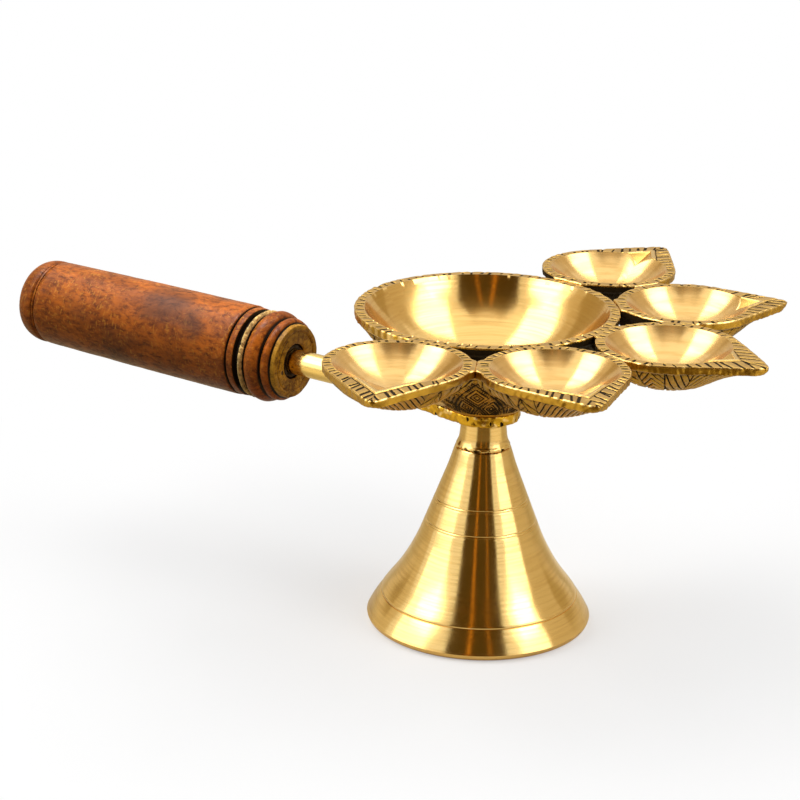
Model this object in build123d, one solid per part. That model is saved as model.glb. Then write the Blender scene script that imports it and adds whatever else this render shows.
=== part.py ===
from build123d import *
import math
import os

# Aarti lamp: a camphor bowl ringed on one side by five leaf-shaped wick cups, on a bell-shaped
# stand, with a turned wooden handle. The lamp head screws down on a stud in the stand and clamps
# the handle's eye plate under it.
# Millimetres. Origin at the centre of the foot, on the table. +Z is up, +X runs to the middle leaf
# cup, and the handle lies along -X.

# Stand: a hollow cone that flares to a rounded lip
FOOT_RADIUS = 36.3  # widest point of the lip
FOOT_EDGE = 3.0  # height of that widest point
FOOT_TUCK = 2.2  # how far the rounded edge draws in at the table
FOOT_ROUND = 0.7  # bulge of that edge
FOOT_FACE = 1.8  # width of the ring that stands on the table
LIP_HEIGHT = 9.3
LIP_TOP_RADIUS = 32.0
LIP_BULGE = 0.5
FLARE_RADIUS = 19.9  # where the straight cone starts to flare
FLARE_HEIGHT = 29.5
SHOULDER_RADIUS = 29.6  # where the flare turns down to the lip
SHOULDER_HEIGHT = 14.5
CONE_HEIGHT = 59.8
CONE_TOP_RADIUS = 8.4
CONE_TOP_ROUND = 0.6
CONE_WALL = 2.2  # measured level
GROOVE_DROP = 17.7  # upper scribed line, below the top of the cone
GROOVE_SPACING = 7.6
GROOVE_RADIUS = 0.4

# Neck: turned solid, its spigot brazed into the cone
NECK_LENGTH = 9.4
NECK_FOOT_RADIUS = 7.7
NECK_FOOT_HEIGHT = 2.2
NECK_RADIUS = 7.3
NECK_TOP_RADIUS = 7.0
SPIGOT_RADIUS = 5.6
SPIGOT_LENGTH = 8.0

# Clamp stud, fixed in the neck
STUD_RADIUS = 4.0
STUD_SINK = 12.0  # depth in the neck
STUD_REACH = 7.0  # length screwed into the bowl
STUD_CHAMFER = 0.6
STUD_CLEARANCE = 0.08

# Handle: an eye plate, a rod lapped on its tail, and a bored wooden grip bedded on lac
STRAP_THICKNESS = 3.6
EYE_RADIUS = 11.5
STRAP_WAIST = 27.0  # distance from the stud to where the taper ends
STRAP_WIDTH = 9.6
STRAP_EDGE_ROUND = 0.5
LAP_START = 20.0
LAP_LENGTH = 17.0
ROD_RADIUS = 4.25
ROD_CHAMFER = 0.8
ROD_DROP = 1.6  # the rod's underside below the strap's, at the stud
HANDLE_RISE = 1.0  # degrees the rod climbs towards the grip
GRIP_FRONT = 74.0  # distance from the stud to the grip's front face
GRIP_LENGTH = 114.2
GRIP_RADIUS = 15.3  # barrel, front end
GRIP_TAPER = 0.7  # the barrel's loss of radius towards its far end
GRIP_GROOVE_DEPTH = 2.1
GRIP_GROOVE_WIDTH = 0.7
FACE_STEP = 3.1  # the front face is smaller than the barrel by this
FACE_EDGE = 0.8
COLLAR_LENGTH = 4.2
COLLAR_STEP = 1.5
BEAD_LENGTH = 5.8
BEAD_SWELL = 0.2
RING_LENGTH = 1.5
RING_STEP = 1.0
WIDE_GROOVE = 1.8
BAND_LENGTH = 2.6
BAND_STEP = 0.4
SCRIBE_DEPTH = 0.8
DOME_LENGTH = 9.0
DOME_FACE_RADIUS = 7.5
BORE_DEPTH = 84.0
LAC_THICKNESS = 1.7
LAC_RECESS = 3.0  # the lac stops short of the bore's mouth
LAC_END = 2.0  # lac past the end of the tang

# Camphor bowl
BOWL_RADIUS = 41.7
BOWL_HEIGHT = 32.4
BOWL_SEAT_RADIUS = 11.5
BOWL_RIM = 3.3  # width of the flat rim
BOWL_BAND = 2.6  # height of the upright band under the rim
BOWL_WALL_BULGE = 1.6
BOWL_FLOOR = 2.6  # metal over the tapped hole
HOLE_RUNOUT = 1.2  # tapped hole past the end of the stud

# Leaf cups
CUP_RADIUS = 19.2
CUP_RIM = 3.4
CUP_BAND = 2.4
CUP_RISE = 0.5  # the cups' rims stand above the bowl's
CUP_DEPTH = 9.6
CUP_FLOOR_RADIUS = 6.0
CUP_NOTCH = 4.8  # how far the pointed wick channel runs past the round cup
NOTCH_JOIN = 36.0  # degrees off the tip line where the channel leaves the round
CUP_DROP = 9.4  # underside below the band
CUP_BASE_RADIUS = 7.0
LEAF_REACH = 35.5  # from the cup's centre to the leaf's tip
LEAF_JOIN = 50.0  # degrees off the tip line where the drawn-out sides leave the round
TIP_WIDTH = 1.6
TIP_DRAW = 3  # power by which the tip draws back below the band
TIP_START = 0.95  # share of the overhang where the blunt tip starts
CUP_BITE = 0.3  # how far each rim runs into its neighbour before it is trimmed to fit
CUP_SHIFTS = (-0.8, 0.4, 0.0, -0.2, 1.0)  # degrees each cup sits off an even spacing
LEAF_TURNS = (13.7, 1.5, -4.6, 0.5, 2.7)  # degrees each tip turns from the radial line
SHELL_LEVELS = 5  # sections through each leaf's underside and hollow

# Heights and radii that follow
NECK_TOP = CONE_HEIGHT + NECK_LENGTH
SEAT = NECK_TOP + STRAP_THICKNESS
ROD_HEIGHT = NECK_TOP + ROD_RADIUS - ROD_DROP
BOWL_RIM_HEIGHT = SEAT + BOWL_HEIGHT
CUP_RIM_HEIGHT = BOWL_RIM_HEIGHT + CUP_RISE
HOLE_DEPTH = STUD_REACH + HOLE_RUNOUT
LAP_END = LAP_START + LAP_LENGTH
BORE_RADIUS = ROD_RADIUS + LAC_THICKNESS
TANG_END = GRIP_FRONT + BORE_DEPTH - LAC_END
CUP_COUNT = len(CUP_SHIFTS)
CUP_OUTER = CUP_RADIUS + CUP_RIM
CUP_CENTRE = BOWL_RADIUS + CUP_OUTER - CUP_BITE
CUP_SPACING = 2 * math.degrees(math.asin((CUP_OUTER - CUP_BITE) / CUP_CENTRE))

# Along the handle: local x runs out from the stud, local y is up
ALONG_HANDLE = Vector(-1, 0, 0).rotate(Axis.Y, HANDLE_RISE)
HANDLE_PLANE = Plane(origin=(0, 0, ROD_HEIGHT), x_dir=ALONG_HANDLE, z_dir=(0, 1, 0))
HANDLE_AXIS = Axis((0, 0, ROD_HEIGHT), ALONG_HANDLE)


def turned(*lines):
    """Solid of revolution about Z from a closed outline drawn as (radius, height)."""
    face = make_face([edge for line in lines for edge in line.edges()])
    return revolve(Plane.XZ * face, Axis.Z)


def turned_on_handle(*lines):
    """Solid of revolution about the handle from a closed outline drawn as (distance, radius)."""
    face = make_face([edge for line in lines for edge in line.edges()])
    return revolve(HANDLE_PLANE * face, HANDLE_AXIS)


def post(radius, bottom, top):
    """Upright cylinder on the Z axis."""
    rod = Cylinder(radius, top - bottom, align=(Align.CENTER, Align.CENTER, Align.MIN))
    return Pos(0, 0, bottom) * rod


def dowel(radius, start, end):
    """Cylinder along the handle, between two distances from the stud."""
    outline = Polyline((start, 0), (start, radius), (end, radius), (end, 0), close=True)
    return turned_on_handle(outline)


def cone_radius(height):
    """Outer radius of the straight part of the cone."""
    slope = (FLARE_RADIUS - CONE_TOP_RADIUS) / (CONE_HEIGHT - FLARE_HEIGHT)
    return CONE_TOP_RADIUS + slope * (CONE_HEIGHT - height)


def cone_side(inset, top):
    """The cone's side moved inwards: the straight run from a height, the flare and the shoulder."""
    start = (cone_radius(top) - inset, top)
    bend = (FLARE_RADIUS - inset, FLARE_HEIGHT)
    turn = (SHOULDER_RADIUS - inset, SHOULDER_HEIGHT)
    end = (LIP_TOP_RADIUS - inset, LIP_HEIGHT)
    run = Line(start, bend)
    flare = TangentArc(bend, turn, tangent=run % 1)
    return run, flare, TangentArc(turn, end, tangent=flare % 1)


def stand_cone():
    run, flare, shoulder = cone_side(0, CONE_HEIGHT)
    lip = SagittaArc((LIP_TOP_RADIUS, LIP_HEIGHT), (FOOT_RADIUS, FOOT_EDGE), LIP_BULGE)
    foot = (FOOT_RADIUS - FOOT_TUCK, 0)
    edge = SagittaArc((FOOT_RADIUS, FOOT_EDGE), foot, FOOT_ROUND)
    axis = Polyline(foot, (0, 0), (0, CONE_HEIGHT), (CONE_TOP_RADIUS, CONE_HEIGHT))
    cone = turned(run, flare, shoulder, lip, edge, axis)
    cone = fillet(cone.edges().group_by(Axis.Z)[-1], CONE_TOP_ROUND)

    hub = CONE_HEIGHT - SPIGOT_LENGTH
    run, flare, shoulder = cone_side(CONE_WALL, hub)
    inner_foot = (FOOT_RADIUS - FOOT_TUCK - FOOT_FACE, 0)
    skirt = Polyline((LIP_TOP_RADIUS - CONE_WALL, LIP_HEIGHT), inner_foot, (0, 0), (0, hub), run @ 0)
    cone -= turned(run, flare, shoulder, skirt)
    cone -= post(SPIGOT_RADIUS, hub, CONE_HEIGHT)
    for drop in (GROOVE_DROP, GROOVE_DROP + GROOVE_SPACING):
        height = CONE_HEIGHT - drop
        cone -= Pos(0, 0, height) * Torus(cone_radius(height), GROOVE_RADIUS)
    return cone


def stand_neck():
    foot = (NECK_FOOT_RADIUS, CONE_HEIGHT)
    waist = (NECK_RADIUS, CONE_HEIGHT + NECK_FOOT_HEIGHT)
    cove = TangentArc(waist, foot, tangent=(0, -1))
    body = Polyline(waist, (NECK_TOP_RADIUS, NECK_TOP), (0, NECK_TOP), (0, CONE_HEIGHT), foot)
    neck = turned(cove, body) + post(SPIGOT_RADIUS, CONE_HEIGHT - SPIGOT_LENGTH, CONE_HEIGHT)
    return neck - post(STUD_RADIUS, NECK_TOP - STUD_SINK, NECK_TOP)


def clamp_stud():
    stud = post(STUD_RADIUS, NECK_TOP - STUD_SINK, SEAT + STUD_REACH)
    return chamfer(stud.edges().group_by(Axis.Z)[-1], STUD_CHAMFER)


def handle_strap():
    eye = Circle(EYE_RADIUS)
    waist = Pos(-STRAP_WAIST, 0) * Circle(STRAP_WIDTH / 2)
    tail_length = LAP_END - STRAP_WAIST
    tail = Pos(-STRAP_WAIST - tail_length / 2, 0) * Rectangle(tail_length, STRAP_WIDTH)
    plan = make_hull(eye.edges() + waist.edges()) + tail
    strap = extrude(Pos(0, 0, NECK_TOP) * plan, STRAP_THICKNESS)
    around_eye = strap.edges().filter_by(lambda edge: edge.bounding_box().max.X > 0)
    strap = fillet(around_eye, STRAP_EDGE_ROUND)
    return strap - post(STUD_RADIUS + STUD_CLEARANCE, NECK_TOP, SEAT)


def handle_rod():
    rod = dowel(ROD_RADIUS, LAP_START, TANG_END)
    rod = chamfer(rod.edges().group_by(Axis.X)[0], ROD_CHAMFER)
    under_lap = Pos(-LAP_END, 0, SEAT) * Box(
        LAP_LENGTH + ROD_RADIUS, 2 * STRAP_WIDTH, 2 * ROD_RADIUS, align=(Align.MIN, Align.CENTER, Align.MAX)
    )
    return rod - under_lap


def bead(start, end, foot, crown):
    """Rounded bead in the grip's outline, from one groove to the next."""
    return ThreePointArc((start, foot), ((start + end) / 2, crown), (end, foot))


def wooden_grip():
    groove = GRIP_RADIUS - GRIP_GROOVE_DEPTH
    face = GRIP_RADIUS - FACE_STEP
    tail_radius = GRIP_RADIUS - GRIP_TAPER
    collar = GRIP_FRONT + FACE_EDGE
    bead_start = collar + COLLAR_LENGTH + GRIP_GROOVE_WIDTH
    bead_end = bead_start + BEAD_LENGTH
    ring = bead_end + GRIP_GROOVE_WIDTH
    band = ring + RING_LENGTH + WIDE_GROOVE
    barrel = band + BAND_LENGTH + GRIP_GROOVE_WIDTH
    end = GRIP_FRONT + GRIP_LENGTH
    dome = end - DOME_LENGTH
    barrel_end = dome - GRIP_GROOVE_WIDTH

    outline = [
        Polyline((GRIP_FRONT, 0), (GRIP_FRONT, face), (collar, groove)),
        bead(collar, collar + COLLAR_LENGTH, groove, GRIP_RADIUS - COLLAR_STEP),
        Line((collar + COLLAR_LENGTH, groove), (bead_start, groove)),
        bead(bead_start, bead_end, groove, GRIP_RADIUS + BEAD_SWELL),
        Line((bead_end, groove), (ring, groove)),
        bead(ring, ring + RING_LENGTH, groove, GRIP_RADIUS - RING_STEP),
        Polyline(
            (ring + RING_LENGTH, groove),
            (band, groove),
            (band, GRIP_RADIUS - BAND_STEP),
            (band + BAND_LENGTH, GRIP_RADIUS - BAND_STEP),
            (band + BAND_LENGTH, GRIP_RADIUS - SCRIBE_DEPTH),
            (barrel, GRIP_RADIUS - SCRIBE_DEPTH),
            (barrel, GRIP_RADIUS),
            (barrel_end, tail_radius),
            (barrel_end, tail_radius - SCRIBE_DEPTH),
            (dome, tail_radius - SCRIBE_DEPTH),
            (dome, tail_radius),
        ),
        TangentArc((dome, tail_radius), (end, DOME_FACE_RADIUS), tangent=(1, 0)),
        Polyline((end, DOME_FACE_RADIUS), (end, 0), (GRIP_FRONT, 0)),
    ]
    return turned_on_handle(*outline) - dowel(BORE_RADIUS, GRIP_FRONT, GRIP_FRONT + BORE_DEPTH)


def lac_bedding():
    bore_end = GRIP_FRONT + BORE_DEPTH
    return dowel(BORE_RADIUS, GRIP_FRONT + LAC_RECESS, bore_end) - handle_rod()


def bowl_blank():
    """Outside of the bowl, unhollowed."""
    band = BOWL_RIM_HEIGHT - BOWL_BAND
    wall = SagittaArc((BOWL_SEAT_RADIUS, SEAT), (BOWL_RADIUS, band), -BOWL_WALL_BULGE)
    rest = Polyline(
        (BOWL_RADIUS, band), (BOWL_RADIUS, BOWL_RIM_HEIGHT), (0, BOWL_RIM_HEIGHT), (0, SEAT),
        (BOWL_SEAT_RADIUS, SEAT),
    )
    return turned(wall, rest)


def camphor_bowl():
    mouth = (BOWL_RADIUS - BOWL_RIM, BOWL_RIM_HEIGHT)
    floor = (0, SEAT + HOLE_DEPTH + BOWL_FLOOR)
    hollow = turned(
        TangentArc(floor, mouth, tangent=(1, 0)), Polyline(mouth, (0, BOWL_RIM_HEIGHT), floor)
    )
    return bowl_blank() - hollow - post(STUD_RADIUS + STUD_CLEARANCE, SEAT, SEAT + HOLE_DEPTH)


def leaf(radius, overhang, join, height):
    """Level outline of a leaf: a circle drawn out on +X to a blunt tip, past the round by the overhang."""
    angle = math.radians(join)
    side_x = radius * math.cos(angle)
    side_y = radius * math.sin(angle)
    tip_y = TIP_WIDTH / 2
    tip_x = math.sqrt(radius**2 - tip_y**2) + TIP_START * overhang
    edges = [
        ThreePointArc((side_x, -side_y), (-radius, 0), (side_x, side_y)),
        TangentArc((side_x, side_y), (tip_x, tip_y), tangent=(math.sin(angle), -math.cos(angle))),
        ThreePointArc((tip_x, tip_y), (radius + overhang, 0), (tip_x, -tip_y)),
        TangentArc((side_x, -side_y), (tip_x, -tip_y), tangent=(math.sin(angle), math.cos(angle))),
    ]
    return Pos(0, 0, height) * make_face(edges)


def leaf_shell(radius, overhang, join, top, depth, end_radius):
    """Round-bottomed body under a leaf outline, whose tip draws back to the round as it goes down."""
    sections = []
    for level in range(SHELL_LEVELS):
        share = level / (SHELL_LEVELS - 1)
        level_radius = end_radius + (radius - end_radius) * math.sqrt(1 - share)
        level_overhang = overhang * (1 - share) ** TIP_DRAW
        sections.append(leaf(level_radius, level_overhang, join, top - share * depth))
    return loft(sections)


def cup_casting():
    """One leaf cup before it is fitted: the cup's centre at the origin, rim at height 0, tip on +X."""
    overhang = LEAF_REACH - CUP_OUTER
    body = extrude(leaf(CUP_OUTER, overhang, LEAF_JOIN, -CUP_BAND), CUP_BAND)
    body += leaf_shell(CUP_OUTER, overhang, LEAF_JOIN, -CUP_BAND, CUP_DROP, CUP_BASE_RADIUS)
    return body - leaf_shell(CUP_RADIUS, CUP_NOTCH, NOTCH_JOIN, 0, CUP_DEPTH, CUP_FLOOR_RADIUS)


def cup_angle(number):
    return (number - (CUP_COUNT - 1) / 2) * CUP_SPACING + CUP_SHIFTS[number]


def leaf_cup(number, casting):
    """A casting in its place round the bowl, trimmed to the bowl's wall and to its neighbours."""
    place = Rot(0, 0, cup_angle(number)) * Pos(CUP_CENTRE, 0, CUP_RIM_HEIGHT)
    cup = place * Rot(0, 0, LEAF_TURNS[number]) * casting
    cup -= post(BOWL_RADIUS, SEAT, CUP_RIM_HEIGHT)

    span = 2 * (CUP_CENTRE + LEAF_REACH)
    for side, neighbour in ((Align.MAX, number - 1), (Align.MIN, number + 1)):
        if 0 <= neighbour < CUP_COUNT:
            beyond = Box(span, span, span, align=(Align.CENTER, side, Align.MIN))
            cup -= Rot(0, 0, (cup_angle(number) + cup_angle(neighbour)) / 2) * beyond
    return cup


os.makedirs("parts", exist_ok=True)
nodes = {
    "stand_cone": stand_cone(),
    "stand_neck": stand_neck(),
    "clamp_stud": clamp_stud(),
    "handle_strap": handle_strap(),
    "handle_rod": handle_rod(),
    "wooden_grip": wooden_grip(),
    "lac_bedding": lac_bedding(),
    "camphor_bowl": camphor_bowl(),
}
casting = cup_casting()
for number in range(CUP_COUNT):
    nodes[f"leaf_cup_{number + 1}"] = leaf_cup(number, casting)
for name, solid in nodes.items():
    export_step(solid, f"parts/{name}.step")
    print(name, round(solid.volume / 1000, 2), "cm3")
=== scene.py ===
import math
import bpy
import numpy as np
from mathutils import Matrix, Vector


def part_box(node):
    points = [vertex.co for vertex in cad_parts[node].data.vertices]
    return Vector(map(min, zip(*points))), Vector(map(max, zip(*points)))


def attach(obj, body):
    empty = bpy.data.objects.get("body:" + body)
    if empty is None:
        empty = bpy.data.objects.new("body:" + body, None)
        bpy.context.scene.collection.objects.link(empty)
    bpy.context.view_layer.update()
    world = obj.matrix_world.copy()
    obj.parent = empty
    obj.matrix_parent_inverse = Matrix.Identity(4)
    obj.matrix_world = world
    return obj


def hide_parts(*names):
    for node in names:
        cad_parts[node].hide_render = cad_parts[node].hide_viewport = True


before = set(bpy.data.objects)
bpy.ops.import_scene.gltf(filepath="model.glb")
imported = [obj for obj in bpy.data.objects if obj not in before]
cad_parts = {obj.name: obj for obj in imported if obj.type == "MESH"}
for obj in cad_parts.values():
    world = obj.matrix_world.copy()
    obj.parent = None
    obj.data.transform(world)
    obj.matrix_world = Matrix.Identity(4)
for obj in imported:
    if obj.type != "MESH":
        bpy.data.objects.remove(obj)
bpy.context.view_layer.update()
mm = 0.001
fullTurn = 2 * math.pi
weld = 0.0005 * mm     # vertices closer than this are merged
lumpWaves = 10         # waves in a lumpy surface
lumpScale = 4.5        # brings their sum to about -1 to 1
print("frame loaded,", len(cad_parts), "nodes")


# modelling helpers

def deselectAll():
    bpy.ops.object.select_all(action="DESELECT")


def chooseOnly(piece):
    deselectAll()
    piece.select_set(True)
    bpy.context.view_layer.objects.active = piece


def editAll():
    bpy.ops.object.mode_set(mode="EDIT")
    bpy.ops.mesh.select_all(action="SELECT")


# draws an outline of (radius, height) in mm from one vertex, then turns it about Z with a screw modifier
# each vertex keeps the number of its outline point in "ring"
def turnOutline(name, outline, steps):
    deselectAll()
    bpy.ops.mesh.primitive_plane_add(size=mm)
    piece = bpy.context.object
    piece.name = name
    piece.data.name = name
    piece.data.uv_layers.remove(piece.data.uv_layers[0])
    editAll()
    bpy.ops.mesh.merge(type="CENTER")
    points = [Vector((radius * mm, 0, height * mm)) for radius, height in outline]
    bpy.ops.transform.translate(value=points[0])
    for last, point in zip(points, points[1:]):
        bpy.ops.mesh.extrude_region_move(TRANSFORM_OT_translate={"value": point - last})
    bpy.ops.object.mode_set(mode="OBJECT")
    gaps = np.linalg.norm(vertexPlaces(piece)[:, None] - np.array(points)[None], axis=2)
    keepPoints(piece, "ring", gaps.argmin(axis=1))
    turn = piece.modifiers.new("turn", "SCREW")
    turn.steps = steps
    turn.render_steps = steps
    turn.merge_threshold = weld
    turn.use_merge_vertices = True
    bpy.ops.object.modifier_apply(modifier="turn")
    editAll()
    bpy.ops.mesh.remove_doubles(threshold=weld)
    bpy.ops.mesh.normals_make_consistent(inside=False)
    bpy.ops.object.mode_set(mode="OBJECT")
    wrapUv(piece, points)
    return piece


# UV map "turned": u once round the piece, v the way along the outline in metres
def wrapUv(piece, points):
    mesh = piece.data
    around = turnAngles(piece) / fullTurn + 0.5
    ring = pointValues(piece, "ring").astype(int)
    along = np.concatenate([[0], np.cumsum([(b - a).length for a, b in zip(points, points[1:])])])
    corners, starts, counts = faceCorners(mesh)
    u = around[corners]
    width = np.maximum.reduceat(u, starts) - np.minimum.reduceat(u, starts)
    crossing = np.repeat(width > 0.5, counts)
    u[crossing & (u < 0.5)] += 1
    uv = mesh.uv_layers.new(name="turned")
    uv.data.foreach_set("uv", np.stack([u, along[ring[corners]]], axis=1).astype(np.float32).ravel())


# one value of each vertex, corner or face, as an array
def readAll(things, name, width=1, kind=np.float32):
    values = np.empty(len(things) * width, dtype=kind)
    things.foreach_get(name, values)
    return values


def faceCorners(mesh):
    corners = readAll(mesh.loops, "vertex_index", kind=np.int32)
    starts = readAll(mesh.polygons, "loop_start", kind=np.int32)
    counts = readAll(mesh.polygons, "loop_total", kind=np.int32)
    return corners, starts, counts


def vertexPlaces(piece):
    return readAll(piece.data.vertices, "co", 3).reshape(-1, 3).astype(float)


def vertexNormals(piece):
    return readAll(piece.data.vertex_normals, "vector", 3).reshape(-1, 3).astype(float)


def placeVertices(piece, co):
    piece.data.vertices.foreach_set("co", co.astype(np.float32).ravel())
    piece.data.update()


def turnAngles(piece):
    co = vertexPlaces(piece)
    return np.arctan2(co[:, 1], co[:, 0])


# distance of each vertex from the Z axis, in mm
def axisDistance(co):
    return np.hypot(co[:, 0], co[:, 1]) / mm


def pointValues(piece, name):
    return readAll(piece.data.attributes[name].data, "value")


# what a turned piece is worked by: places, rings, angles and distances from the axis
def turnedPlaces(piece):
    co = vertexPlaces(piece)
    return co, pointValues(piece, "ring"), turnAngles(piece), axisDistance(co)


def keepPoints(piece, name, values):
    layer = piece.data.attributes.new(name, "FLOAT", "POINT")
    layer.data.foreach_set("value", values.astype(np.float32))


# sinks each vertex below the surface by a depth in mm
def carve(piece, depth):
    placeVertices(piece, vertexPlaces(piece) - vertexNormals(piece) * (depth * mm)[:, None])


# materials by stretch of the outline: each entry is (first ring of the stretch, material)
def dressRings(piece, stretches):
    mesh = piece.data
    corners, starts, counts = faceCorners(mesh)
    lowest = np.minimum.reduceat(pointValues(piece, "ring")[corners], starts)
    slots = np.zeros(len(mesh.polygons), dtype=np.int32)
    mesh.materials.clear()
    for number, (first, material) in enumerate(stretches):
        mesh.materials.append(material)
        slots[lowest >= first] = number
    mesh.polygons.foreach_set("material_index", slots)


def settle(piece, body, node, smoothAngle=40):
    chooseOnly(piece)
    bpy.ops.object.shade_smooth_by_angle(angle=math.radians(smoothAngle))
    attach(piece, body)
    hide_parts(node)


def smoothStep(low, high, value):
    share = np.clip((value - low) / (high - low), 0, 1)
    return share * share * (3 - 2 * share)


# 1 between two soft edges, each given as where it starts and ends
def window(value, rise, fall):
    return smoothStep(*rise, value) * (1 - smoothStep(*fall, value))


# soft cut, 1 on its line and nearly 0 past its width
def cutAt(distance, width):
    return np.exp(-((distance / width) ** 2) * 3)


# distance to the nearest of many evenly spaced lines
def toLines(value, pitch):
    return np.abs(value - pitch * np.round(value / pitch))


def cutLines(value, pitch, width):
    return cutAt(toLines(value, pitch), width)


# smooth lumps about -1 to 1 from seeded waves, for a hand-worked surface
def lumps(co, size, seed):
    draw = np.random.default_rng(seed)
    total = np.zeros(len(co))
    for _ in range(lumpWaves):
        turn = draw.normal(size=3)
        turn *= fullTurn / (size * mm * np.linalg.norm(turn)) * draw.uniform(0.6, 1.5)
        total += np.sin(co @ turn + draw.uniform(0, fullTurn))
    return total / lumpScale


def spread(low, high, count):
    return list(np.linspace(low, high, count + 1)[1:])


# first ring of each named part of an outline
def partStarts(parts):
    starts, count = {}, 0
    for name, points in parts.items():
        starts[name] = count
        count += len(points)
    return starts


# turns an outline given in named parts, and gives the first ring of each part
def turnParts(name, parts, steps):
    outline = [point for part in parts.values() for point in part]
    return turnOutline(name, outline, steps), partStarts(parts)


# whether each vertex lies between the starts of two parts
def between(ring, starts, first, after):
    return (ring >= starts[first]) & (ring < starts[after])


# shader helpers

def addNode(tree, kind, **values):
    node = tree.nodes.new(kind)
    for name, value in values.items():
        setattr(node, name, value)
    return node


def setSocket(tree, socket, value):
    if isinstance(value, bpy.types.NodeSocket):
        tree.links.new(value, socket)
    else:
        socket.default_value = value


def feed(tree, node, **sockets):
    for name, value in sockets.items():
        setSocket(tree, node.inputs[name.replace("_", " ")], value)
    return node


def fillInputs(tree, node, values):
    for socket, value in zip(node.inputs, values):
        setSocket(tree, socket, value)
    return node.outputs


def newGroup(name, inputs, outputs):
    tree = bpy.data.node_groups.new(name, "ShaderNodeTree")
    for label, kind, value in inputs:
        socket = tree.interface.new_socket(label, in_out="INPUT", socket_type=kind)
        if value is not None:
            socket.default_value = value
    for label in outputs:
        tree.interface.new_socket(label, in_out="OUTPUT", socket_type="NodeSocketFloat")
    return tree, tree.nodes.new("NodeGroupInput").outputs, tree.nodes.new("NodeGroupOutput")


def placeGroup(tree, group, **sockets):
    return feed(tree, addNode(tree, "ShaderNodeGroup", node_tree=group), **sockets).outputs


def noise(tree, vector, scale, detail, rough):
    node = addNode(tree, "ShaderNodeTexNoise")
    return feed(tree, node, Vector=vector, Scale=scale, Detail=detail, Roughness=rough).outputs["Fac"]


def ramp(tree, value, low, high, toLow=0.0, toHigh=1.0):
    node = addNode(tree, "ShaderNodeMapRange", interpolation_type="SMOOTHSTEP")
    feed(tree, node, Value=value, From_Min=low, From_Max=high, To_Min=toLow, To_Max=toHigh)
    return node.outputs["Result"]


def maths(tree, operation, *values):
    return fillInputs(tree, addNode(tree, "ShaderNodeMath", operation=operation), values)[0]


def vectorMaths(tree, operation, *values):
    return fillInputs(tree, addNode(tree, "ShaderNodeVectorMath", operation=operation), values)


# sockets 0, 6 and 7 are the share and the two colours, and 2 is the colour that comes out
def mixColours(tree, share, first, second):
    node = addNode(tree, "ShaderNodeMix", data_type="RGBA")
    for number, value in ((0, share), (6, first), (7, second)):
        setSocket(tree, node.inputs[number], value)
    return node.outputs[2]


def stretch(tree, vector, scale):
    return feed(tree, addNode(tree, "ShaderNodeMapping"), Vector=vector, Scale=scale).outputs["Vector"]


# the "cut" attribute of a piece: 1 in a cut or in painted shade, 0 on the surface, -1 on a worn edge
def cutValue(tree):
    node = addNode(tree, "ShaderNodeAttribute", attribute_type="GEOMETRY", attribute_name="cut")
    return node.outputs["Fac"]


def objectPlace(tree):
    return addNode(tree, "ShaderNodeTexCoord").outputs["Object"]


def newMaterial(name):
    material = bpy.data.materials.new(name)
    material.use_nodes = True
    return material, material.node_tree, material.node_tree.nodes["Principled BSDF"]


def bump(tree, height, strength, distance):
    node = addNode(tree, "ShaderNodeBump")
    return feed(tree, node, Height=height, Strength=strength, Distance=distance).outputs["Normal"]


def opaque(colour):
    return tuple(colour) + (1.0,)


# fine lines left by the lathe, running round the piece
def turningLines():
    tree, start, end = newGroup(
        "turningLines",
        [("Vector", "NodeSocketVector", None), ("Lines", "NodeSocketFloat", 3000.0)],
        ("Height", "Streaks"),
    )
    split = feed(tree, addNode(tree, "ShaderNodeSeparateXYZ"), Vector=start["Vector"]).outputs
    patterns = []
    for share in (1.0, 0.3):
        vector = addNode(tree, "ShaderNodeCombineXYZ")
        lines = maths(tree, "MULTIPLY", start["Lines"], share)
        feed(tree, vector, X=maths(tree, "MULTIPLY", split["X"], 5.0))
        feed(tree, vector, Y=maths(tree, "MULTIPLY", split["Y"], lines))
        patterns.append(noise(tree, vector.outputs["Vector"], 1.0, 3.0, 0.6))
    feed(tree, end, Height=patterns[0], Streaks=ramp(tree, patterns[1], 0.38, 0.68))
    return tree


# dark wax left in the cuts and painted shade in the gaps, a thin uneven film on the rest, and bare metal
# on the worn edges
def patinaFilm():
    tree, start, end = newGroup(
        "patinaFilm",
        [("Cut", "NodeSocketFloat", 0.0), ("Amount", "NodeSocketFloat", 0.2)],
        ("Dark", "Film", "Worn"),
    )
    coords = objectPlace(tree)
    ragged = noise(tree, coords, 1500.0, 3.0, 0.6)
    shaken = maths(tree, "MULTIPLY_ADD", ragged, 0.5, start["Cut"])
    patches = ramp(tree, noise(tree, coords, 170.0, 4.0, 0.6), 0.42, 0.72)
    film = maths(tree, "MULTIPLY", patches, start["Amount"])
    feed(tree, end, Dark=ramp(tree, shaken, 0.5, 0.85), Film=film, Worn=ramp(tree, shaken, 0.15, -0.45))
    return tree


turningGroup = turningLines()
patinaGroup = patinaFilm()


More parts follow.
